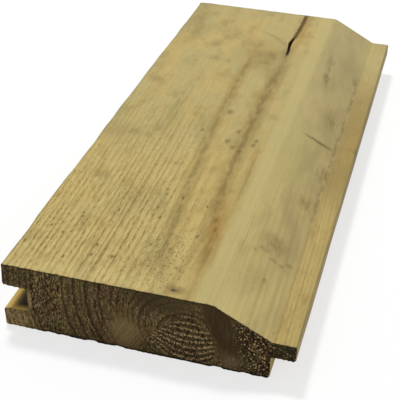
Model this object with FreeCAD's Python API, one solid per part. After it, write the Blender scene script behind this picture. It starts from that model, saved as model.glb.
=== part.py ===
import FreeCAD, Part

import math
import os

from FreeCAD import Vector

# A short length of tongue and groove board, planed from one piece of softwood.
# X runs across the board from the groove edge (-X) to the tongue (+X), Y along the grain, Z up
# from the flat back to the face. The origin is the middle of the back.

# Board, in millimetres
board_length = 300.0
board_thickness = 32.0
cover_width = 115.0

# Tongue
tongue_length = 10.0
tongue_thickness = 8.0
tongue_centre_height = 15.2
tongue_top_radius = 0.8
tongue_bottom_radius = 1.4

# Groove: what it leaves free around the tongue of the next board
groove_side_play = 1.5
groove_end_play = 1.0
groove_mouth_flare = 0.5
groove_root_radius = 1.0

# Edges
chamfer_width = 24.7
chamfer_ridge_radius = 6.0
face_arris_radius = 1.0
lip_radius = 1.5
back_arris_radius = 1.2
shoulder_arris_radius = 1.8
tongue_root_radius = 0.8

# Drying split in the face, open at the far end of the board
split_from_ridge = 19.0
split_length = 64.0
split_depth = 10.0
split_end_width = 1.0
split_neck_width = 1.0
split_neck_from_end = 35.0
split_neck_sway = 0.4
split_belly_width = 2.4
split_belly_from_end = 45.0
split_belly_sway = 1.5
split_tip_sway = 0.3
split_floor_width = 0.4

# What follows from them
overall_width = cover_width + tongue_length
groove_edge_x = -overall_width / 2
shoulder_x = groove_edge_x + cover_width
tongue_tip_x = overall_width / 2
tongue_bottom_z = tongue_centre_height - tongue_thickness / 2
tongue_top_z = tongue_centre_height + tongue_thickness / 2
groove_root_x = groove_edge_x + tongue_length + groove_end_play
groove_root_half = tongue_thickness / 2 + groove_side_play
groove_mouth_half = groove_root_half + groove_mouth_flare
ridge_x = shoulder_x - chamfer_width
near_end_y = -board_length / 2
far_end_y = board_length / 2


def eased_corner(before, corner, after, radius):
    """The tangent arc that eases a corner, with the points where it leaves the two sides."""
    to_before = (before - corner).normalize()
    to_after = (after - corner).normalize()
    half_angle = to_before.getAngle(to_after) / 2
    reach = radius / math.tan(half_angle)
    start = corner + to_before * reach
    end = corner + to_after * reach
    inward = (to_before + to_after).normalize()
    middle = corner + inward * (radius / math.sin(half_angle) - radius)
    return start, Part.Arc(start, middle, end).toShape(), end


def eased_outline(corners):
    """Closed wire of straight sides and tangent arcs. A corner is a point and its radius, 0 for sharp."""
    pieces = []
    for i, (corner, radius) in enumerate(corners):
        before = corners[i - 1][0]
        after = corners[(i + 1) % len(corners)][0]
        if radius > 0:
            pieces.append(eased_corner(before, corner, after, radius))
        else:
            pieces.append((corner, None, corner))
    edges = []
    for i, (start, arc, end) in enumerate(pieces):
        previous_end = pieces[i - 1][2]
        edges.append(Part.LineSegment(previous_end, start).toShape())
        if arc is not None:
            edges.append(arc)
    return Part.Wire(edges)


def at_near_end(x, z):
    return Vector(x, near_end_y, z)


def section():
    """The moulded section at the near end, walked from the back's groove side round by the tongue."""
    corners = [
        (at_near_end(groove_edge_x, 0), back_arris_radius),
        (at_near_end(shoulder_x, 0), shoulder_arris_radius),
        (at_near_end(shoulder_x, tongue_bottom_z), tongue_root_radius),
        (at_near_end(tongue_tip_x, tongue_bottom_z), tongue_bottom_radius),
        (at_near_end(tongue_tip_x, tongue_top_z), tongue_top_radius),
        (at_near_end(shoulder_x, tongue_top_z), 0),
        (at_near_end(ridge_x, board_thickness), chamfer_ridge_radius),
        (at_near_end(groove_edge_x, board_thickness), face_arris_radius),
        (at_near_end(groove_edge_x, tongue_centre_height + groove_mouth_half), lip_radius),
        (at_near_end(groove_root_x, tongue_centre_height + groove_root_half), groove_root_radius),
        (at_near_end(groove_root_x, tongue_centre_height - groove_root_half), groove_root_radius),
        (at_near_end(groove_edge_x, tongue_centre_height - groove_mouth_half), lip_radius),
    ]
    return eased_outline(corners)


def split_outline(height, end_width, neck_width, belly_width):
    """The split in plan at one height: narrow from the far end to its neck, then a belly and a tip."""
    stations = [
        (0, 0, end_width),
        (split_neck_from_end, split_neck_sway, neck_width),
        (split_belly_from_end, split_belly_sway, belly_width),
    ]
    left, right = [], []
    for from_end, sway, width in stations:
        middle = Vector(ridge_x - split_from_ridge - sway, far_end_y - from_end, height)
        left.append(middle - Vector(width / 2, 0, 0))
        right.append(middle + Vector(width / 2, 0, 0))
    tip = Vector(ridge_x - split_from_ridge - split_tip_sway, far_end_y - split_length, height)
    return Part.makePolygon([*left, tip, *reversed(right), left[0]])


def split_cutter():
    """The space of the drying split, wide at the face and closing towards its floor."""
    floor_widths = [split_floor_width] * 3
    mouth_widths = [split_end_width, split_neck_width, split_belly_width]
    floor = split_outline(board_thickness - split_depth, *floor_widths)
    mouth = split_outline(board_thickness, *mouth_widths)
    return Part.makeLoft([floor, mouth], True, True)


def board():
    """The whole board: the moulded section run along the grain, less the drying split."""
    blank = Part.Face(section()).extrude(Vector(0, board_length, 0))
    return blank.cut(split_cutter())


os.makedirs("parts", exist_ok=True)
finished = board()
finished.exportStep("parts/board.step")
box = finished.BoundBox
print("board", round(box.XLength, 3), "x", round(box.YLength, 3), "x", round(box.ZLength, 3), "mm")
print("solids", len(finished.Solids), "valid", finished.isValid(), "volume", round(finished.Volume), "mm3")
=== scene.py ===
# %% [markdown]
# # A short length of tongue and groove board
# The object is one piece of planed softwood: a groove along its left edge, a tongue along its right
# edge, and a broad chamfer that runs from the face down to the tongue. The wood has soaked up a
# preservative and has begun to weather, so its faces are yellow-tan with an olive tint, and its sawn
# ends are dark.
# There is nothing to assemble here. The whole lesson is about one surface that has to look like wood
# from every side, so the shape and the colour are both taken from the same growth rings.

import math

import bmesh
import bpy
import numpy as np
from mathutils import Matrix, Vector, noise


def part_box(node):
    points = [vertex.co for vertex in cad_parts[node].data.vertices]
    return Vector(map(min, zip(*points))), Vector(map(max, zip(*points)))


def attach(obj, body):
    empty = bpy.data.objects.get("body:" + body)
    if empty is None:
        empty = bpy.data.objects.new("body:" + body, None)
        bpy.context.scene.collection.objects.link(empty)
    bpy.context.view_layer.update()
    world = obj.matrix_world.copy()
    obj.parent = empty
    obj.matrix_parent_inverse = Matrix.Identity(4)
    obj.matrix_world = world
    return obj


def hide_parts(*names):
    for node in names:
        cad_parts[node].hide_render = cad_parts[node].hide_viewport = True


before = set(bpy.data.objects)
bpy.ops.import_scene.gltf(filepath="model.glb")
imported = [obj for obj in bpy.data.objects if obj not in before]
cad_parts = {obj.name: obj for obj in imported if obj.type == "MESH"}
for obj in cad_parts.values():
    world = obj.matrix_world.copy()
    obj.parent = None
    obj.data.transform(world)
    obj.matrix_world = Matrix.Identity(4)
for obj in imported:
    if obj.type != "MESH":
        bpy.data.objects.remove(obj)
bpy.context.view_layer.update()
MM = 0.001

low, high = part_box("board")
board_width, board_length, board_thickness = ((high - low) / MM)[:]
print("board", round(board_width, 1), "x", round(board_length, 1), "x", round(board_thickness, 1), "mm")

# %% [markdown]
# ## Camera
# The picture was taken from above the near end, a little to the right, with a longish lens. The
# camera is placed by its position and three angles instead of a target, because the photograph is
# also rolled by about one degree, and a target can't say that.

# %% Place the camera
photo_side_px = 400
focal_length_px = 978.0
sensor_width_mm = 36.0
camera_place_mm = (99.2, -437.3, 273.2)
camera_turn = math.radians(15.08)
camera_height = math.radians(33.05)
camera_roll = math.radians(1.44)


def add_camera():
    turn = Matrix.Rotation(camera_turn, 3, "Z")
    tilt = Matrix.Rotation(math.pi / 2 - camera_height, 3, "X")
    roll = Matrix.Rotation(camera_roll, 3, "Z")
    camera = bpy.data.objects.new("camera", bpy.data.cameras.new("camera"))
    camera.data.sensor_width = sensor_width_mm
    camera.data.lens = sensor_width_mm * focal_length_px / photo_side_px
    camera.matrix_world = Matrix.Translation(Vector(camera_place_mm) * MM) @ (turn @ tilt @ roll).to_4x4()
    bpy.context.scene.collection.objects.link(camera)
    bpy.context.scene.camera = camera
    return camera


camera = add_camera()
print("lens", round(camera.data.lens, 1), "mm")

# %% [markdown]
# ## Writing shader maths as sums
# A wood material is mostly arithmetic: distances, waves and masks. Adding every Math node by hand
# buries the idea, so one small class wraps a socket and answers to + - * / and the like. What is
# written reads as the formula, and the nodes are made on the way. A second class holds the material:
# it offers noise, spots and bands measured in millimetres, and paints one colour over another.

# %% A value that changes over the surface
class Field:
    """One value that changes over the timber. Sums with it add Math nodes to the finish."""

    def __init__(self, finish, socket):
        self.finish = finish
        self.socket = socket

    def __add__(self, other):
        return self.finish.maths("ADD", self, other)

    def __sub__(self, other):
        return self.finish.maths("SUBTRACT", self, other)

    def __rsub__(self, other):
        return self.finish.maths("SUBTRACT", other, self)

    def __mul__(self, other):
        return self.finish.maths("MULTIPLY", self, other)

    def __truediv__(self, other):
        return self.finish.maths("DIVIDE", self, other)

    def __abs__(self):
        return self.finish.maths("ABSOLUTE", self)

    __radd__ = __add__
    __rmul__ = __mul__


def at_least(least, share):
    """Squeezes a share from 0 to 1 into least to 1."""
    return share * (1 - least) + least


# %% A finish for the timber
jitter_lumps_mm = (1.8, 3.6, 1.8)
jitter_reach_mm = (1.6, 3.2, 1.6)
top_step_mm = (18.5, 19.1)


class Finish:
    """A node material for the timber, with its places in millimetres from the near left corner."""

    def __init__(self, name, wood):
        self.wood = wood
        self.material = bpy.data.materials.new(name)
        self.material.use_nodes = True
        self.nodes = self.material.node_tree.nodes
        self.links = self.material.node_tree.links
        self.shader = self.nodes["Principled BSDF"]
        metres = self.add("ShaderNodeTexCoord", give="Object")
        corner = (board_width / 2, board_length / 2, 0)
        self.place = self.vector("MULTIPLY_ADD", metres, (1 / MM,) * 3, corner)
        jitter = self.vector("SUBTRACT", self.cloud(jitter_lumps_mm, shift=5, give="Color"), (0.5,) * 3)
        self.ragged = self.vector("MULTIPLY_ADD", jitter, jitter_reach_mm, self.place)
        self.across, self.along, self.up = self.parts(self.place)
        self.rings = self.add("ShaderNodeAttribute", {"attribute_name": "rings"}, give="Fac")

    def add(self, kind, settings=None, inputs=None, give=0):
        """Adds one node: its settings first, then its sockets. Returns the output named by give."""
        node = self.nodes.new(kind)
        for name, value in (settings or {}).items():
            setattr(node, name, value)
        self.fill(node, inputs or {})
        return Field(self, node.outputs[give])

    def fill(self, node, inputs):
        for name, value in inputs.items():
            if isinstance(value, Field):
                self.links.new(value.socket, node.inputs[name])
            else:
                node.inputs[name].default_value = value

    def maths(self, operation, *values):
        return self.add("ShaderNodeMath", {"operation": operation}, dict(enumerate(values)))

    def vector(self, operation, *values, give=0):
        return self.add("ShaderNodeVectorMath", {"operation": operation}, dict(enumerate(values)), give)

    def parts(self, vector):
        """The three parts of a vector, each as a value of its own."""
        split = self.add("ShaderNodeSeparateXYZ", {}, {0: vector})
        return [Field(self, output) for output in split.socket.node.outputs]

    def rise(self, value, start, end):
        """0 below start and 1 above end, with a soft step between. A start above the end falls."""
        settings = {"interpolation_type": "SMOOTHSTEP"}
        return self.add("ShaderNodeMapRange", settings, {"Value": value, "From Min": start, "From Max": end})

    def between(self, value, start, end, edge):
        """1 between start and end and 0 outside them, with soft steps as wide as edge."""
        return self.rise(value, start - edge, start) * self.rise(value, end + edge, end)

    def most(self, first, second):
        """The larger of two values."""
        return self.maths("MAXIMUM", first, second)

    def on_top(self):
        """1 on the face, the chamfer and the top of the tongue, and 0 below them."""
        return self.rise(self.up, *top_step_mm)

    def mix(self, share, first, second):
        """Two colours blended by a share from 0 to 1."""
        return self.add("ShaderNodeMix", {"data_type": "RGBA"}, {0: share, 6: first, 7: second}, give=2)

    def paint(self, coat, share):
        """Lays one more colour over the wood as it is so far, by a share from 0 to 1."""
        self.wood = self.mix(share, self.wood, coat)

    def complete(self, height, bump_strength, bump_mm, roughness, specular):
        """Joins the painted wood and its finest relief to the shader."""
        relief = {"Height": height, "Strength": bump_strength, "Distance": bump_mm * MM}
        bump = self.add("ShaderNodeBump", {}, relief)
        self.fill(self.shader, {"Base Color": self.wood, "Roughness": roughness, "Normal": bump})
        self.fill(self.shader, {"Specular IOR Level": specular})
        return self.material

    def cloud(self, size, detail=2, shift=0, give="Fac"):
        """Soft noise from 0 to 1 whose lumps measure size = (across, along, up) in millimetres."""
        scaled = self.vector("MULTIPLY_ADD", self.place, tuple(1 / s for s in size), (shift,) * 3)
        return self.add("ShaderNodeTexNoise", {}, {"Vector": scaled, "Scale": 1, "Detail": detail}, give)

    def specks(self, size, share, radius=0.3):
        """Separate dots: about that share of the cells of the size given has one."""
        scaled = self.vector("MULTIPLY", self.place, tuple(1 / s for s in size))
        near = self.add("ShaderNodeTexVoronoi", {}, {"Vector": scaled, "Scale": 1}, give="Distance")
        drawn = self.parts(Field(self, near.socket.node.outputs["Color"]))[0]
        return self.rise(near, radius, radius * 0.3) * self.rise(drawn, share, share * 0.9)

    def spot(self, centre, reach, edge=0.0, seen="XY"):
        """A soft oval mark, 1 in its middle and 0 beyond its reach, from above or, with XZ, from the end."""
        scale, offset = [0, 0, 0], [0, 0, 0]
        for letter, middle, limit in zip(seen, centre, reach):
            scale["XYZ".index(letter)] = 1 / limit
            offset["XYZ".index(letter)] = -middle / limit
        away = self.vector("MULTIPLY_ADD", self.ragged, scale, offset)
        return self.rise(self.vector("LENGTH", away, give="Value"), 1, edge)

    def spots(self, marks, edge=0.0, seen="XY"):
        """Several spots. A mark is its place in the plane that is seen and then its reach there."""
        shares = [self.spot(mark[:2], mark[2:], edge, seen) for mark in marks]
        total = shares[0]
        for share in shares[1:]:
            total = self.most(total, share)
        return total

    def band(self, course, half_width, edge=0.0, fade=8.0):
        """A streak along the grain. course lists points (along, across) of its middle, near end first."""
        curve = self.add("ShaderNodeFloatCurve", {}, {"Value": self.along / board_length})
        mapping = curve.socket.node.mapping
        for _ in course[2:]:
            mapping.curves[0].points.new(0.5, 0.5)
        for point, (along, across) in zip(mapping.curves[0].points, course):
            point.location = (along / board_length, across / board_width)
        mapping.update()
        streak = self.rise(abs(self.parts(self.ragged)[0] - curve * board_width), half_width, edge)
        if course[0][0] > 0:
            streak = streak * self.rise(self.along, course[0][0], course[0][0] + fade)
        if course[-1][0] < board_length:
            streak = streak * self.rise(self.along, course[-1][0], course[-1][0] - fade)
        return streak


def colour(red, green, blue):
    """A colour as it shows on screen, 0 to 255, turned into the linear values that shaders use."""
    shown = np.array((red, green, blue)) / 255
    linear = np.where(shown <= 0.04045, shown / 12.92, ((shown + 0.055) / 1.055) ** 2.4)
    return (*linear.tolist(), 1.0)


# %% [markdown]
# ## Floor, backdrop and light
# The board is shown on plain white, with a pale, short shadow at the right and in front. The floor
# takes the shadow, and the camera sees some plain white mixed into it, so that the ground is white
# without lighting the wood any harder. One lamp stands high behind the left far corner, a weak one at
# the front opens up the sawn end, and the sky fills in the rest.

# %% Light the board
floor_half_width = 4.0
floor_gap = 0.05 * MM
floor_white_share = 0.68
sky_strength = 0.43
lamp_distance = 1.6
floor_grey = (0.95, 0.95, 0.95, 1.0)
white = (1.0, 1.0, 1.0, 1.0)


def seen_directly(tree):
    """1 for what the camera sees, in a mirror or through glass too, and 0 for light on the object."""
    rays = tree.nodes.new("ShaderNodeLightPath")
    total = rays.outputs["Is Camera Ray"]
    for name in ("Is Glossy Ray", "Is Transmission Ray"):
        either = tree.nodes.new("ShaderNodeMath")
        either.operation = "MAXIMUM"
        tree.links.new(total, either.inputs[0])
        tree.links.new(rays.outputs[name], either.inputs[1])
        total = either.outputs[0]
    return total


def floor_white():
    material = bpy.data.materials.new("floor white")
    material.use_nodes = True
    tree = material.node_tree
    tree.nodes.clear()
    grey = tree.nodes.new("ShaderNodeBsdfDiffuse")
    grey.inputs["Color"].default_value = floor_grey
    glow = tree.nodes.new("ShaderNodeEmission")
    glow.inputs["Color"].default_value = white
    share = tree.nodes.new("ShaderNodeMath")
    share.operation = "MULTIPLY"
    share.inputs[1].default_value = floor_white_share
    both = tree.nodes.new("ShaderNodeMixShader")
    out = tree.nodes.new("ShaderNodeOutputMaterial")
    tree.links.new(seen_directly(tree), share.inputs[0])
    tree.links.new(share.outputs[0], both.inputs[0])
    tree.links.new(grey.outputs[0], both.inputs[1])
    tree.links.new(glow.outputs[0], both.inputs[2])
    tree.links.new(both.outputs[0], out.inputs["Surface"])
    return material


def add_floor():
    sheet = bmesh.new()
    bmesh.ops.create_grid(sheet, x_segments=1, y_segments=1, size=floor_half_width)
    bmesh.ops.translate(sheet, vec=(0, 0, -floor_gap), verts=sheet.verts)
    mesh = bpy.data.meshes.new("floor")
    sheet.to_mesh(mesh)
    sheet.free()
    mesh.materials.append(floor_white())
    floor = bpy.data.objects.new("floor", mesh)
    bpy.context.scene.collection.objects.link(floor)


def add_sky():
    world = bpy.data.worlds.new("sky")
    world.use_nodes = True
    bpy.context.scene.world = world
    tree = world.node_tree
    background = tree.nodes["Background"]
    background.inputs["Color"].default_value = white
    strength = tree.nodes.new("ShaderNodeMapRange")
    strength.inputs["To Min"].default_value = sky_strength
    strength.inputs["To Max"].default_value = 1.0
    tree.links.new(seen_directly(tree), strength.inputs["Value"])
    tree.links.new(strength.outputs[0], background.inputs["Strength"])


def add_lamp(name, turn, height, size, level):
    """A square soft lamp. level is how bright it alone would make a white surface facing it."""
    flat = math.cos(height)
    direction = Vector((math.sin(turn) * flat, -math.cos(turn) * flat, math.sin(height)))
    lamp = bpy.data.objects.new(name, bpy.data.lights.new(name, "AREA"))
    lamp.data.shape = "SQUARE"
    lamp.data.size = size
    lamp.data.energy = level * math.pi ** 2 * lamp_distance ** 2
    lamp.location = direction * lamp_distance
    lamp.rotation_euler = direction.to_track_quat("Z", "Y").to_euler()
    bpy.context.scene.collection.objects.link(lamp)
    print(name, round(lamp.data.energy, 2), "W")


add_floor()
add_sky()
add_lamp("main_lamp", turn=math.radians(-140), height=math.radians(69), size=0.22, level=0.66)
add_lamp("front_lamp", turn=math.radians(40), height=math.radians(35), size=1.2, level=0.14)
bpy.context.scene.view_settings.view_transform = "Standard"

# %% [markdown]
# ## Cutting the board into small facets
# The wood's relief needs points to move, and the built board has only its corners. Its mesh is
# copied, merged and freed of flat seams, and then sliced by planes: fine slices across the board
# where the rings run close, and longer steps along the grain, because wood hardly changes that way.
# Bisecting keeps every facet on the true surface, the drying split included. A voxel remesh would
# have rounded the arrises, and a subdivision surface would have pulled them in.

# %% Slice the board
first_slice_mm = 0.3
slice_across_mm = 0.55
slice_up_mm = 0.62
slice_along_mm = 3.0
last_slice_from_end_mm = 0.5
arris_slices_mm = (0.4, 1.0, 1.8)
same_place_m = 1e-6
on_plane_m = 1e-7
flat_seam = math.radians(0.5)
upright_below = 0.2
end_above = 0.9


def faces_with(cut, wanted):
    """The faces that wanted picks, with their edges and corners, as bisect_plane needs them."""
    faces = [f for f in cut.faces if wanted(f)]
    edges = {e for f in faces for e in f.edges}
    corners = {v for f in faces for v in f.verts}
    return faces + list(edges) + list(corners)


def slice_board(cut, axis, places_mm, wanted=lambda face: True):
    """Cuts the faces that wanted picks by planes square to the axis, where 0, 1, 2 are X, Y, Z."""
    normal = Vector([axis == i for i in range(3)])
    for place in places_mm:
        corner = normal * place * MM
        pieces = faces_with(cut, wanted)
        bmesh.ops.bisect_plane(cut, geom=pieces, plane_co=corner, plane_no=normal, dist=on_plane_m)


def sliced_board():
    """A merged copy of the built board, sliced across, then up its sides and ends, then along."""
    cut = bmesh.new()
    cut.from_mesh(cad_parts["board"].data)
    bmesh.ops.remove_doubles(cut, verts=cut.verts, dist=same_place_m)
    bmesh.ops.dissolve_limit(cut, angle_limit=flat_seam, verts=cut.verts, edges=cut.edges)
    print("merged copy:", len(cut.faces), "faces")
    across = np.arange(low.x / MM + first_slice_mm, high.x / MM, slice_across_mm)
    slice_board(cut, 0, across.tolist())
    cut.normal_update()
    upright = np.arange(slice_up_mm, board_thickness, slice_up_mm)
    slice_board(cut, 2, upright.tolist(), lambda face: abs(face.normal.z) < upright_below)
    steps = np.arange(low.y / MM + slice_along_mm, high.y / MM - last_slice_from_end_mm, slice_along_mm)
    arris = [side * (board_length / 2 - step) for side in (-1, 1) for step in arris_slices_mm]
    slice_board(cut, 1, sorted([*steps.tolist(), *arris]), lambda face: abs(face.normal.y) < end_above)
    return cut


cut = sliced_board()
print("sliced:", len(cut.verts), "corners", len(cut.faces), "faces")

# %% [markdown]
# ## Growth rings
# Every line on a board is the same thing seen at another angle: the tree's yearly rings. On the
# sawn end they curve round the pith, on the left of the face they stand almost upright and show as
# close straight lines, and over the pith they lie flat and spread out. One function says how far
# any point is from the pith, measured as the tree grew, and a second turns that into rings. The
# count is stored on the mesh, so that relief and colour, face and end, all follow it.

# %% Count the rings at every point
pith_across, pith_up = 81.0, 13.0
outer_pith_up = 25.0
pith_flattening = 1.2
pith_settles_mm = (10.0, 40.0)
solver_steps = 5
trunk_sweep_mm = 11.0
tongue_side_from, tongue_side_to = 85.0, 97.0
tongue_side_lean = 0.54
tongue_side_growth = 1.3
broad_bend_mm = 0.5
fine_bend_mm = 0.2
lift_mm = 0.8
rings_in_trunk = 60
ring_mm = 2.75
ring_spread = 0.17
year_dice = np.random.default_rng(4)
ring_edges_mm = np.cumsum(ring_mm * (1 + ring_spread * year_dice.standard_normal(rings_in_trunk)))


def soft_step(value, start, end):
    """0 below start and 1 above end, with a soft step between."""
    share = np.clip((value - start) / (end - start), 0, 1)
    return share * share * (3 - 2 * share)


def growth(across, along, up):
    """How far the trunk had grown when it laid down the wood at these points, in millimetres."""
    sweep = trunk_sweep_mm * (1 - np.cos(math.pi * along / (2 * board_length)))
    sideways, upward = across - pith_across, up - pith_up
    radius = np.hypot(sideways, upward)
    for _ in range(solver_steps):
        settled = soft_step(radius, *pith_settles_mm)
        flat = pith_flattening + (1 - pith_flattening) * settled
        centre_up = (outer_pith_up - pith_up) * settled
        radius = 0.5 * radius + 0.5 * np.hypot((sideways + sweep * settled) / flat, upward - centre_up)
    tongue_side = (sideways + sweep + tongue_side_lean * upward) * tongue_side_growth
    share = soft_step(across, tongue_side_from, tongue_side_to)
    return radius + share * (np.maximum(tongue_side, radius) - radius)


def ring_count(across, along, up):
    """Rings from the pith outwards, late wood ending at whole numbers. Good years grew wide ones."""
    return np.interp(growth(across, along, up), [0, *ring_edges_mm], range(rings_in_trunk + 1))


def wander(points, size, seed):
    """Smooth noise about 0 at each point, with lumps of size = (across, along, up) millimetres."""
    scaled = points / np.array(size) + np.array((seed, 0, 0))
    return np.array([noise.noise(p) for p in scaled.tolist()])


points = np.array([v.co[:] for v in cut.verts]) / MM + np.array((board_width / 2, board_length / 2, 0))
across, along, up = points.T
bend = broad_bend_mm * wander(points, (30, 70, 30), 3.0) + fine_bend_mm * wander(points, (6, 25, 6), 8.0)
rings = ring_count(across + bend, along, up + lift_mm * wander(points, (60, 45, 60), 5.0))
print("rings", round(float(rings.min()), 1), "to", round(float(rings.max()), 1))

# %% [markdown]
# ## Relief
# Planed softwood is never flat for long: the soft early wood of each ring sinks, the hard late wood
# stands, the sawn ends are torn, and the arrises are knocked. All of it is moved inwards, never out,
# because the built size is the size of the board before it wore.

# %% Push the wear inwards
ring_sink_mm = 0.07
weathered_share = 0.1
weathers_mm = (80, 200)
face_wear_mm = 0.12
end_sink_mm = 0.35
end_skin_mm = 0.1
arris_wear_mm = 0.5
arris_reach_mm = 0.8
arris_skin_mm = 0.5
far_end_share = 0.3
edge_wear_mm = 0.7
edge_reach_mm = 1.6
split_depth_mm = 10.0
split_course = ((222, 71.3), (240, 71), (255, 69.8), (265, 70.9), (300, 71.3))
split_reach_mm = 1.6
neck_share = 0.35
neck_reach_mm = 0.8
neck_closes_mm = (257, 266)


def push_in(cut, depths_mm):
    """Moves every point of the mesh inwards, square to the surface."""
    cut.normal_update()
    moves = [v.normal * (-d * MM) for v, d in zip(cut.verts, depths_mm)]
    for v, move in zip(cut.verts, moves):
        v.co += move


phase = rings - np.floor(rings)
soft_wood = 0.5 + 0.5 * np.cos(2 * math.pi * (phase - 0.3))
standing = 1 - (1 - weathered_share) * soft_step(along, *weathers_mm)
depths = ring_sink_mm * soft_wood * standing + face_wear_mm * (0.5 + wander(points, (14, 60, 14), 21.0))
to_end = np.minimum(along, board_length - along)
torn = 0.5 + 0.5 * wander(points, (1.3, 1.3, 1.3), 33.0)
chipped = np.clip(2.2 * wander(points, (6, 5, 6), 35.0), 0, 1)
roughness = np.where(along < board_length / 2, 1.0, far_end_share)
arrises = np.clip(1 - np.minimum(board_thickness - up, up) / arris_reach_mm, 0, 1)
sawn = (to_end < end_skin_mm) * (1 - 0.8 * arrises) * (0.4 * soft_wood + 0.5 * torn)
knocked = (to_end < arris_skin_mm) * arrises * (0.15 * torn + chipped)
depths = depths + roughness * (end_sink_mm * sawn + arris_wear_mm * knocked)
left_edge = np.clip(1 - across / edge_reach_mm, 0, 1)
worn = np.clip(0.1 + 1.1 * wander(points, (12, 20, 12), 41.0), 0, 1)
depths = depths + left_edge * edge_wear_mm * worn

# The walls of the split keep their place, and its neck closes to a crack.
split_middle = np.interp(along, *zip(*split_course))
above_split_floor = up > board_thickness - split_depth_mm - 0.1
from_split = np.where(above_split_floor, abs(across - split_middle), np.inf)
near_split = (from_split < split_reach_mm) & (along > split_course[0][0])
wear = np.where(near_split, 0, np.clip(depths, 0, None))
push_in(cut, wear)
left_open = 1 - (1 - neck_share) * soft_step(along, *neck_closes_mm) * (from_split < neck_reach_mm)
for v, middle, share in zip(cut.verts, split_middle.tolist(), left_open.tolist()):
    middle_x = (middle - board_width / 2) * MM
    v.co.x = middle_x + (v.co.x - middle_x) * share
print("deepest wear", round(float(wear.max()), 2), "mm")

# %% Make it an object
sharp_from = math.radians(40)
sawn_above = 0.75


def finished_board(cut, rings):
    """The visible board, with the ring count on its points and the sawn ends in a second material."""
    for edge in cut.edges:
        edge.smooth = edge.calc_face_angle(0) < sharp_from
    for face in cut.faces:
        face.smooth = True
        face.material_index = int(abs(face.normal.y) > sawn_above)
    mesh = bpy.data.meshes.new("board_timber")
    cut.to_mesh(mesh)
    attribute = mesh.attributes.new("rings", "FLOAT", "POINT")
    attribute.data.foreach_set("value", rings.astype(np.float32))
    piece = bpy.data.objects.new("board_timber", mesh)
    bpy.context.scene.collection.objects.link(piece)
    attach(piece, "root")
    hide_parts("board")
    return piece


cut.normal_update()
board_timber = finished_board(cut, rings)
triangles = sum(len(p.vertices) - 2 for p in board_timber.data.polygons)
print("board_timber:", triangles, "triangles")

# %% [markdown]
# ## The planed faces
# The colour starts as a plain yellow-tan that greys a little towards the far end. Each ring darkens
# slowly through its late wood and starts again pale, fine fibres streak it lengthways, and broad
# clouds of treatment and weather shift it towards olive. The lines are strong near the near end and
# are almost gone at the far one, where the surface has weathered.

# %% The wood's own figure
tan = colour(183, 162, 99)
far_tan = colour(170, 154, 100)
warm_tan = colour(184, 157, 92)
pale_tan = colour(204, 187, 126)
late_tan = colour(134, 109, 54)
fibre_brown = colour(108, 85, 40)
olive = colour(150, 141, 88)


def yearly_late_wood(finish, count):
    """The dark part of each ring, stronger in some years than in others."""
    phase = finish.maths("FRACT", count)
    late = finish.rise(phase, 0.4, 0.82) * finish.rise(phase, 1.0, 0.9)
    settings = {"noise_dimensions": "1D"}
    year = finish.add("ShaderNodeTexWhiteNoise", settings, {"W": finish.maths("FLOOR", count)}, give="Value")
    return late, year


def grain(finish):
    """Lays down fibres, clouds and yearly lines, before any mark. Returns how high the wood stands."""
    ripple = finish.cloud((1.5, 40, 1.5), detail=3)
    late, year = yearly_late_wood(finish, finish.rings + (ripple - 0.5) * 0.5)
    fresh = at_least(0.08, finish.rise(finish.along, 200, 15))
    close = finish.rise(finish.across, 62, 48) * 0.55 + finish.rise(finish.across, 92, 78) * 0.05 + 0.45
    sides = finish.most(finish.rise(finish.up, 18.9, 18.3), finish.rise(finish.across, 1.0, 0.3))
    crisp = finish.most(fresh * close, sides * 0.55)
    cloudy = 1 - sides * 0.5
    fibre = finish.cloud((0.55, 12, 0.55), detail=4, shift=7)
    dashes = finish.cloud((0.75, 2.8, 0.75), detail=3, shift=11)
    weather = finish.cloud((16, 40, 16), detail=4, shift=3)
    warmth = finish.cloud((13, 45, 13), detail=3, shift=29)
    dark_cloud = finish.cloud((7, 13, 7), detail=4, shift=13)
    finish.paint(far_tan, finish.rise(finish.along, 70, 150))
    finish.paint(warm_tan, finish.rise(warmth, 0.46, 0.62) * cloudy * 0.5)
    finish.paint(olive, finish.rise(weather, 0.48, 0.66) * cloudy * 0.55)
    finish.paint(late_tan, finish.rise(dark_cloud, 0.5, 0.7) * 0.35)
    finish.paint(pale_tan, finish.rise(fibre, 0.5, 0.72) * (crisp * 0.4 + 0.12))
    finish.paint(late_tan, finish.rise(fibre, 0.48, 0.3) * (crisp * 0.35 + 0.1))
    finish.paint(late_tan, late * (year * 0.6 + 0.3) * crisp * 0.9)
    finish.paint(fibre_brown, finish.rise(dashes, 0.52, 0.72) * (late * 0.65 + 0.3) * crisp)
    finish.paint(pale_tan, finish.rise(dashes, 0.47, 0.25) * (crisp * 0.35 + 0.1))
    return late * 0.5 + fibre


# %% [markdown]
# ## The marks of this board
# What makes it this board and no other comes last: two brown streaks of resin running most of the
# length, a knot at the near edge with a rusty stain behind it, pin knots, a pale ridge, treatment
# stains and specks of dirt. They are soft ovals and bands, placed in millimetres where they lie.
# They are painted one over the other, so their order matters: streaks first, then stains, knots and
# dirt, and the shade of the split and the groove over all of them.

# %% Colours and places of the marks on the face
streak_brown = colour(138, 116, 60)
line_brown = colour(112, 92, 44)
rust = colour(150, 110, 38)
knot_brown = colour(104, 82, 40)
knot_dark = colour(50, 36, 18)
ridge_pale = colour(178, 163, 108)
stain_brown = colour(122, 103, 58)
split_brown = colour(90, 64, 20)
split_black = colour(46, 26, 2)
split_inside = colour(84, 48, 8)
rim_green = colour(118, 112, 72)
groove_yellow = colour(190, 160, 84)
groove_shade_brown = colour(52, 37, 14)
groove_root = colour(126, 104, 56)

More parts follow.
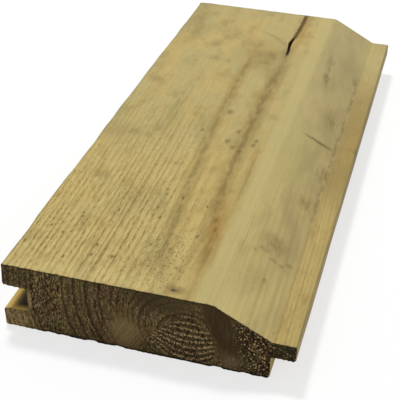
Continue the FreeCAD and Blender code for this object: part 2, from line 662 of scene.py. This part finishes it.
resin_course = ((12, 79.5), (50, 77.0), (75, 73.6), (105, 72.2), (150, 70.8), (215, 71.4), (236, 71.6))
heart_course = ((8, 61.5), (40, 60), (80, 57), (120, 54.5), (150, 52.8), (200, 52), (240, 52))
left_line_courses = (((118, 31), (160, 30.6), (212, 29.6)), ((125, 28.2), (160, 27.8), (196, 27.4)))
rust_course = ((14, 80.0), (50, 78), (90, 75.5))
side_course = ((0, 79.5), (52, 80.2), (75, 81.2), (132, 80.0))
far_resin_course = ((128, 71.5), (200, 71.8), (240, 71.5))
beside_split_course = ((232, 73.2), (262, 73.6), (300, 74.0))
split_tip_course = ((235.5, 71.2), (242, 70.9), (255, 69.8))
ridge_course = ((0, 86.5), (100, 87), (200, 86.5), (300, 85))
far_arc_course = ((246, 70), (254, 65), (262, 57), (268, 47))
left_smear_course = ((250, 12.5), (270, 10), (280, 5))
streak_lines = ((resin_course, 2.6, 0.5), (heart_course, 1.9, 0.42), (side_course, 1.2, 0.3))

pin_knots = ((33.0, 52.0), (9.4, 32.2), (33.2, 17.0), (33.5, 24.5), (42.3, 18.3), (52.3, 52.3), (49.7, 71.5),
             (57.3, 70.0), (70.0, 66.8), (72.0, 43.0), (19.9, 42.8), (54.9, 31.5), (23.0, 12.5), (16.0, 28.5))
face_knots = ((57.0, 157.3, 3.4, 4.8), (77.2, 131, 1.8, 3.4), (76.8, 126.5, 1.7, 3.0),
              (71.6, 118.6, 2.1, 3.0), (63.5, 126.5, 2.4, 4.2), (67.5, 121.5, 2.0, 2.6),
              (66.5, 138, 1.8, 4.0), (48.5, 134, 1.4, 2.5))
face_stains = ((16, 122, 6, 5), (24, 121, 4, 4.5), (31, 220, 7, 5), (40, 218, 3, 5), (53, 234, 7, 9),
               (60, 222, 9, 4), (70, 200, 5, 6), (3, 214, 3.5, 9), (9, 182, 7, 7), (1.5, 163, 2, 5),
               (15, 79, 7, 6), (47, 99, 4, 3), (51, 246, 8, 8), (27, 240, 6, 8))


# %% Paint the face
pin_reach_mm = (1.1, 1.6)


def streaks(finish, on_face, patchy):
    """Two broad streaks of resin with fine lines in them, and rust beside them."""
    heart = finish.band(heart_course, 5.5, 0.5, fade=40) * (patchy * 0.3 + 0.2)
    finish.paint(streak_brown, heart * on_face)
    resin = finish.band(resin_course, 6.5, 0.5, fade=30) * (patchy * 0.45 + 0.2)
    finish.paint(streak_brown, resin * on_face)
    finish.paint(streak_brown, finish.band(side_course, 5.0, 1.0, fade=30) * on_face * 0.25)
    finish.paint(streak_brown, finish.spot((58, 232), (26, 36)) * on_face * 0.35)
    fine = finish.rise(finish.cloud((0.9, 20, 0.9), detail=3, shift=31), 0.42, 0.62)
    finish.paint(line_brown, finish.most(heart, resin) * fine * on_face * 0.4)
    for course, half_width, share in streak_lines:
        line = finish.band(course, half_width, 0.3, fade=25) * at_least(0.4, patchy)
        finish.paint(line_brown, line * on_face * share)
    for course in left_line_courses:
        finish.paint(line_brown, finish.band(course, 1.0, 0.2, fade=25) * patchy * on_face * 0.4)
    finish.paint(line_brown, finish.band(far_resin_course, 5.8, 3.2, fade=30) * on_face * 0.18)
    tail = finish.spots(((70.5, 238, 5.5, 16), (63.5, 232, 7, 15)))
    finish.paint(line_brown, tail * at_least(0.4, patchy) * on_face * 0.6)
    finish.paint(rust, finish.band(beside_split_course, 2.6, 0.6, fade=20) * on_face * 0.4)
    finish.paint(rust, finish.band(rust_course, 6.0, fade=20) * on_face * 0.3)
    finish.paint(rust, finish.spot((77.3, 53), (4.0, 13)) * on_face * 0.45)


def stains(finish, on_face, patchy):
    """Aged patches at the left, a green rim, the dark cores in the rust, stains and smears."""
    far_left = finish.rise(finish.across, 22, 2) * finish.rise(finish.along, 205, 265)
    mid_left = finish.spot((6, 121), (20, 16))
    aged = finish.most(far_left, mid_left)
    finish.paint(stain_brown, aged * at_least(0.5, patchy) * on_face * 0.35)
    rim = finish.most(finish.rise(finish.across, 2.4, 0.2), finish.rise(finish.along, 297.8, 300))
    finish.paint(rim_green, rim * patchy * 0.5)
    cores = finish.spots(((78.0, 50.5, 1.1, 3.6), (76.6, 57, 0.9, 3)))
    finish.paint(knot_dark, cores * on_face * 0.45)
    finish.paint(stain_brown, finish.spots(face_stains) * at_least(0.3, patchy) * on_face * 0.55)
    for course in (far_arc_course, left_smear_course):
        smear = finish.band(course, 3.6, fade=5) * at_least(0.5, patchy)
        finish.paint(stain_brown, smear * on_face * 0.4)


def knots_and_dirt(finish, on_face):
    """Dirt near the near end, pin knots, a few larger marks, and the knot at the near edge."""
    left_of_ridge = finish.rise(finish.across, 84, 76)
    crowd = finish.spot((64, 24), (20, 46), 0.2) * left_of_ridge
    crumbs = finish.cloud((0.9, 1.5, 0.9), detail=3, shift=37) + crowd * 0.1
    finish.paint(knot_brown, finish.rise(crumbs, 0.63, 0.7) * crowd * on_face * 0.55)
    dots = finish.specks((1.3, 2.6, 1.3), finish.rise(finish.along, 90, 30) * 0.16, 0.4)
    finish.paint(knot_brown, dots * left_of_ridge * on_face * 0.5)
    pins = finish.spots([(*place, *pin_reach_mm) for place in pin_knots], 0.1)
    finish.paint(knot_dark, pins * on_face * 0.7)
    finish.paint(knot_brown, finish.spots(face_knots, 0.1) * on_face * 0.65)
    finish.paint(knot_brown, finish.spot((73.8, 5.0), (7.2, 4.2), 0.1) * on_face * 0.65)
    finish.paint(knot_dark, finish.spot((73.3, 4.4), (2.0, 1.4), 0.1) * on_face * 0.95)


def face_marks(finish):
    """All that lies on the flat of the face, from the rubbed near end to the knots."""
    on_face = finish.on_top()
    patchy = finish.rise(finish.cloud((2.5, 7, 2.5), detail=3, shift=17), 0.3, 0.62)
    rubbed = finish.rise(finish.along, 14, 3) * finish.rise(finish.across, 70, 60)
    finish.paint(pale_tan, rubbed * on_face * 0.2)
    finish.paint(ridge_pale, finish.band(ridge_course, 5.5, 2.5) * on_face * 0.75)
    streaks(finish, on_face, patchy)
    stains(finish, on_face, patchy)
    knots_and_dirt(finish, on_face)


# %% Colours and places of the marks on the chamfer
ridge_yellow = colour(186, 171, 110)
chamfer_pale = colour(185, 170, 115)
chamfer_brown = colour(148, 131, 88)
chamfer_grey = colour(158, 143, 104)
chamfer_green = colour(160, 151, 92)
dirt_green = colour(104, 94, 54)
tip_shade_grey = colour(118, 104, 70)

chamfer_smear_course = ((206, 98.4), (235, 96.5), (265, 93.5))
chamfer_stains = ((113, 237, 3.5, 9), (110, 98, 7, 9), (103, 57, 8, 10), (108, 180, 6, 16), (112, 128, 5, 12),
                  (97, 222, 4, 7), (96, 243, 4.5, 8))
chamfer_specks = ((96.4, 46.2, 2.2, 2.4), (98.8, 49.8, 1.9, 2.2), (101.6, 49.5, 1.8, 2.2),
                  (105.0, 46, 2.4, 2.0), (111.5, 48.5, 2.6, 2.2), (104.6, 31, 1.4, 2.4),
                  (108.5, 45.5, 2.0, 1.8), (114.4, 5.5, 0.8, 1.2))


# %% Paint the tongue and the chamfer
def tongue_marks(finish, patchy):
    """The top of the tongue is brown where it was handled, with a dirty nick and a line of rust."""
    on_tongue = finish.rise(finish.across, 114.5, 115.5)
    handled = finish.between(finish.along, 130, 215, 45)
    finish.paint(late_tan, on_tongue * (handled * 0.38 + 0.2))
    finish.paint(chamfer_pale, on_tongue * finish.rise(finish.along, 190, 280) * 0.4)
    finish.paint(streak_brown, finish.spot((121.5, 159.5), (5.5, 4.5)) * on_tongue * 0.5)
    finish.paint(dirt_green, finish.spot((125, 158.5), (2.2, 5.5)) * 0.8)
    rust_line = finish.between(finish.across, 114.7, 115.1, 0.5) * finish.rise(finish.along, 245, 205)
    finish.paint(rust, rust_line * patchy * 0.5)


def chamfer_tones(finish, on_chamfer, below_ridge):
    """The chamfer is browner towards the tongue, greener at its top and pale at the near end."""
    clouds = finish.rise(finish.cloud((8, 24, 8), detail=4, shift=2), 0.38, 0.62)
    finish.paint(chamfer_pale, on_chamfer * 0.55)
    finish.paint(chamfer_grey, on_chamfer * finish.rise(finish.along, 150, 260) * 0.5)
    lower = finish.rise(finish.along, 10, 60) * finish.rise(finish.across, 94, 106) * 0.35
    lower = lower * finish.rise(finish.along, 285, 235)
    finish.paint(chamfer_brown, below_ridge * (clouds * 0.35 + lower))
    finish.paint(ridge_yellow, finish.spot((116, 290), (11, 50)) * below_ridge * 0.45)
    late, year = yearly_late_wood(finish, finish.rings)
    near = finish.rise(finish.along, 175, 40) * finish.rise(finish.across, 93, 99)
    finish.paint(streak_brown, late * at_least(0.3, year) * near * 0.2)
    finish.paint(chamfer_green, finish.spot((97, 125), (12, 38)) * below_ridge * 0.5)
    finish.paint(pale_tan, finish.spot((95, 2), (9, 34)) * on_chamfer * 0.45)


def chamfer_dirt(finish, below_ridge, patchy):
    """Stains, specks, dirt in the crease at the chamfer's foot, the scratch, and painted shade on the tip."""
    finish.paint(stain_brown, finish.spots(chamfer_stains) * at_least(0.3, patchy) * below_ridge * 0.7)
    smear = finish.band(chamfer_smear_course, 2.6, 0.2, fade=12) * at_least(0.4, patchy)
    finish.paint(dirt_green, smear * below_ridge * 0.75)
    finish.paint(dirt_green, finish.spots(chamfer_specks) * at_least(0.5, patchy) * below_ridge * 0.6)
    crease = finish.between(finish.across, 113.8, 114.7, 0.8) * finish.between(finish.along, 105, 225, 30)
    finish.paint(stain_brown, crease * patchy * 0.55)
    scratch = finish.spot((105.5, 153.6), (11.5, 2.1), 0.2)
    finish.paint(dirt_green, scratch * below_ridge * 0.85)
    # Painted shade on the tongue's tip, uneven along the board.
    shade_on_tip = finish.rise(finish.cloud((1, 25, 1), detail=3, shift=61), 0.35, 0.65) * 0.6 + 0.2
    finish.paint(tip_shade_grey, finish.rise(finish.across, 123.6, 124.8) * shade_on_tip)


def chamfer_marks(finish):
    """The tongue first, then the chamfer's own tones, then dirt on both and painted shade on the tip."""
    on_top = finish.on_top()
    patchy = finish.rise(finish.cloud((2, 5, 2), detail=3, shift=23), 0.35, 0.6)
    below_ridge = finish.rise(finish.across, 91, 101) * finish.rise(finish.across, 119, 113) * on_top
    on_chamfer = finish.rise(finish.across, 88, 93) * finish.rise(finish.across, 115.5, 114.5) * on_top
    tongue_marks(finish, patchy)
    chamfer_tones(finish, on_chamfer, below_ridge)
    chamfer_dirt(finish, below_ridge, patchy)


# %% Paint the groove and the split, and put the coats together
def groove_shade(finish):
    """The groove is yellow at its mouth, has painted shade towards its root, and a mid-brown root face."""
    in_groove = finish.between(finish.up, 8.9, 21.5, 0.4) * finish.rise(finish.across, 12.2, 11.6)
    finish.paint(groove_yellow, in_groove * 0.85)
    # Painted shade: the groove's floor darkens towards its root, starting just behind the end.
    shade_towards_root = finish.rise(finish.across, 2.4, 6.4) * finish.rise(finish.along, 0.3, 4.0)
    finish.paint(groove_shade_brown, in_groove * shade_towards_root)
    finish.paint(groove_root, in_groove * finish.rise(finish.across, 10.2, 10.9))


def split_shade(finish):
    """The near arris is frayed and dark, and so are the split's rim, its closed neck and its inside."""
    on_top = finish.on_top()
    fringe = finish.cloud((1.6, 1.6, 1.6), detail=2, shift=67) * 2.4
    frayed = finish.rise(finish.along + fringe, 1.8, 1.1)
    finish.paint(knot_dark, frayed * on_top * 0.75)
    finish.paint(split_brown, finish.band(split_course, 1.6, 0.4, fade=20) * on_top * 0.6)
    neck = finish.rise(finish.along, 256, 266)
    neck_line = finish.band(split_course, 1.9, 0.9) * neck
    finish.paint(split_brown, neck_line * on_top * 0.75)
    finish.paint(split_black, finish.band(split_tip_course, 1.0, 0.6, fade=2) * on_top)
    in_split = finish.between(finish.up, 21.0, 31.2, 0.4) * finish.between(finish.across, 68.0, 73.0, 0.5)
    finish.paint(split_inside, in_split * finish.rise(finish.along, 230, 234) * (1 - neck))


def planed_timber():
    finish = Finish("planed timber", tan)
    height = grain(finish)
    for dress in (face_marks, chamfer_marks, groove_shade, split_shade):
        dress(finish)
    return finish.complete(height, bump_strength=0.5, bump_mm=0.1, roughness=0.66, specular=0.2)


# %% [markdown]
# ## The sawn ends
# End grain drinks treatment and dirt, so it is dark olive-brown. What shows on it are the rings
# again, cut square: fine lines at the groove side, a smooth paler patch with rays fanning from the
# pith, a lens of soft wood at the pith where the saw tore pale tufts up in rows, a smooth brown
# band, and coarse broken grain beside the tongue.

# %% Colours and places of the sawn end
end_olive = colour(97, 84, 49)
end_brown = colour(83, 64, 37)
end_pink = colour(100, 79, 57)
end_dark = colour(20, 13, 4)
end_pale = colour(182, 155, 108)
end_smooth = colour(112, 96, 60)
top_brown = colour(56, 45, 26)
band_brown = colour(56, 42, 22)
lip_pale = colour(152, 129, 84)
foot_pink = colour(122, 99, 74)
dark_olive = colour(40, 36, 18)

lens_middle = 80.5
row_spacing = 3.1
flat_row_height = 17.0
fan_foot = (20.0, -50.0)
rays_in_turn = 60
chamfer_facing = (0.46, 0.888)


# %% Paint the sawn end
def lens(finish):
    """The torn wood at the pith: where it lies, and the rows that the saw left in it."""
    sideways = finish.parts(finish.ragged)[0] - lens_middle
    bow = sideways * sideways
    below = finish.rise(finish.up - bow * 0.03, -1.5, 0.5)
    above = finish.rise(finish.up + abs(sideways) * 0.85, 26.0, 23.0)
    inside = below * above * finish.rise(sideways, 13.0, 9.5)
    height = finish.up / flat_row_height
    level = finish.up - bow * 0.043 * (1 - height * height)
    uneven = (finish.cloud((4, 4, 3), detail=2, shift=8) - 0.5) * 2
    row = finish.maths("FRACT", (level + uneven) / row_spacing)
    return inside, finish.between(row, 0.42, 0.56, 0.26)


def end_tones(finish, smooth):
    """The slow changes of colour below the torn grain: clouds, the pale lip and the smooth patch."""
    finish.paint(end_olive, finish.rise(finish.cloud((8, 8, 11), detail=3), 0.35, 0.65))
    pink = finish.rise(finish.cloud((5, 5, 9), detail=3, shift=43), 0.5, 0.65)
    finish.paint(end_pink, pink * 0.6)
    finish.paint(lip_pale, finish.spot((5, 4), (13, 8), 0.3, "XZ") * 0.85)
    finish.paint(top_brown, finish.spot((4, 27), (12, 7), 0.3, "XZ") * 0.45)
    finish.paint(end_smooth, smooth * 0.75)


def open_grain(finish, pores, rough):
    """Dark pores and pale torn fibres, coarsest just right of the groove."""
    toothed = finish.between(finish.across, 14, 25, 3) * 0.3
    finish.paint(end_dark, finish.rise(pores, 0.5, 0.36) * rough * (toothed + 0.7))
    finish.paint(end_pale, finish.rise(pores, 0.54, 0.7) * rough * (toothed + 0.48))


def ring_lines(finish, pores, late_lines):
    """The rings cut square, two dark rows beside the groove, and the brown wood under the face."""
    finish.paint(end_dark, late_lines)
    near_groove = finish.spots(((13.7, 16, 1.4, 20), (18.2, 22, 1.1, 13)), seen="XZ")
    finish.paint(end_dark, near_groove * finish.rise(pores, 0.7, 0.4) * 0.55)
    finish.paint(top_brown, finish.spot((69, 29.5), (20, 12), 0.2, "XZ") * 0.65)


def fan_of_rays(finish):
    """Fine rays that cross the smooth patch."""
    fan = finish.spot((54, 8), (12, 10), 0.2, "XZ")
    turn = finish.maths("ARCTAN2", finish.across - fan_foot[0], finish.up - fan_foot[1])
    settings = {"noise_dimensions": "1D"}
    rays = finish.add("ShaderNodeTexNoise", settings, {"W": turn * rays_in_turn, "Detail": 3})
    finish.paint(end_pale, finish.rise(rays, 0.48, 0.68) * fan * 0.6)
    finish.paint(end_dark, finish.rise(rays, 0.45, 0.3) * fan * 0.4)


def torn_rows(finish, torn, rows):
    """The torn lens: dark between its rows, with pale tufts that are brightest low down."""
    dots = finish.cloud((0.5, 0.5, 0.8), detail=2, shift=53)
    bright = at_least(0.65, finish.rise(finish.up, 22, 9))
    finish.paint(end_dark, torn * (1 - rows) * 0.7)
    finish.paint(end_pale, torn * (rows * 0.72 + 0.12) * bright * finish.rise(dots, 0.45, 0.6))
    finish.paint(end_dark, torn * finish.rise(dots, 0.48, 0.38) * 0.75)


def beside_tongue(finish, slant, brown_band, tufts):
    """The smooth brown band, and the coarse broken grain between it and the tongue."""
    streaky = finish.cloud((0.9, 0.9, 9), detail=3, shift=59)
    finish.paint(band_brown, brown_band * (finish.rise(streaky, 0.6, 0.4) * 0.25 + 0.68))
    finish.paint(foot_pink, finish.spot((98.5, 4), (5.5, 6), 0.2, "XZ") * 0.5)
    coarse = finish.rise(slant, 103.5, 108.0)
    finish.paint(end_dark, coarse * finish.rise(tufts, 0.56, 0.45))
    finish.paint(end_pale, coarse * finish.specks((1.1, 1.1, 1.1), 0.5, 0.48))
    finish.paint(dark_olive, finish.rise(finish.across, 113, 117) * 0.35)


def end_edges(finish, tufts):
    """Fuzz in the groove, painted shade under the face and chamfer, and a painted shadow along the floor."""
    fuzz = finish.spot((12, 15.4), (1.3, 7), 0.3, "XZ") * tufts
    finish.paint(end_pale, fuzz)
    # Painted shade: a dark band on the end just under the face and under the chamfer.
    shade_under_face = finish.rise(finish.up, 30.4, 31.6)
    towards_chamfer = finish.across * chamfer_facing[0] + finish.up * chamfer_facing[1]
    shade_under_chamfer = finish.rise(towards_chamfer, 68.6, 70.2)
    finish.paint(dark_olive, finish.most(shade_under_face, shade_under_chamfer) * 0.65)
    # Painted contact shadow: a dark ragged line where the end meets the floor.
    ragged_up = finish.up - finish.cloud((4, 4, 4), detail=3, shift=47) * 1.4
    contact_shadow = finish.rise(ragged_up, 0.7, 0.0)
    finish.paint(end_dark, contact_shadow * finish.rise(finish.across, 4, 30) * 0.85)


def sawn_end():
    finish = Finish("sawn end", end_brown)
    torn, rows = lens(finish)
    smooth = finish.spot((54, 10), (12, 16), 0.1, "XZ")
    slant = finish.across + finish.up * 0.28 + (finish.cloud((5, 5, 5), detail=3, shift=19) - 0.5) * 6
    brown_band = finish.between(slant, 96.5, 104.0, 3.5) * finish.rise(finish.up, 2, 13)
    calm = finish.most(smooth * 0.85, finish.spot((74, 29), (18, 8), 0.2, "XZ") * 0.5)
    rough = 1 - finish.most(calm, brown_band * 0.9)
    ripple = finish.cloud((1.2, 1.2, 4), detail=3) - 0.5
    late, year = yearly_late_wood(finish, finish.rings + ripple * 0.6)
    pores = finish.cloud((0.5, 0.5, 1.2), detail=3, shift=4)
    tufts = finish.cloud((0.65, 0.65, 0.5), detail=2, shift=9)
    end_tones(finish, smooth)
    open_grain(finish, pores, rough)
    ring_lines(finish, pores, late * (year * 0.6 + 0.2) * at_least(0.2, rough) * (1 - torn))
    fan_of_rays(finish)
    torn_rows(finish, torn, rows)
    beside_tongue(finish, slant, brown_band, tufts)
    end_edges(finish, tufts)
    relief = finish.rise(tufts, 0.3, 0.8) + pores * 0.6 - late * 0.5
    return finish.complete(relief, bump_strength=0.7, bump_mm=0.25, roughness=0.85, specular=0.1)


# %% Give the board its two materials
for dress in (planed_timber, sawn_end):
    material = dress()
    board_timber.data.materials.append(material)
    print(material.name, "has", len(material.node_tree.nodes), "nodes")
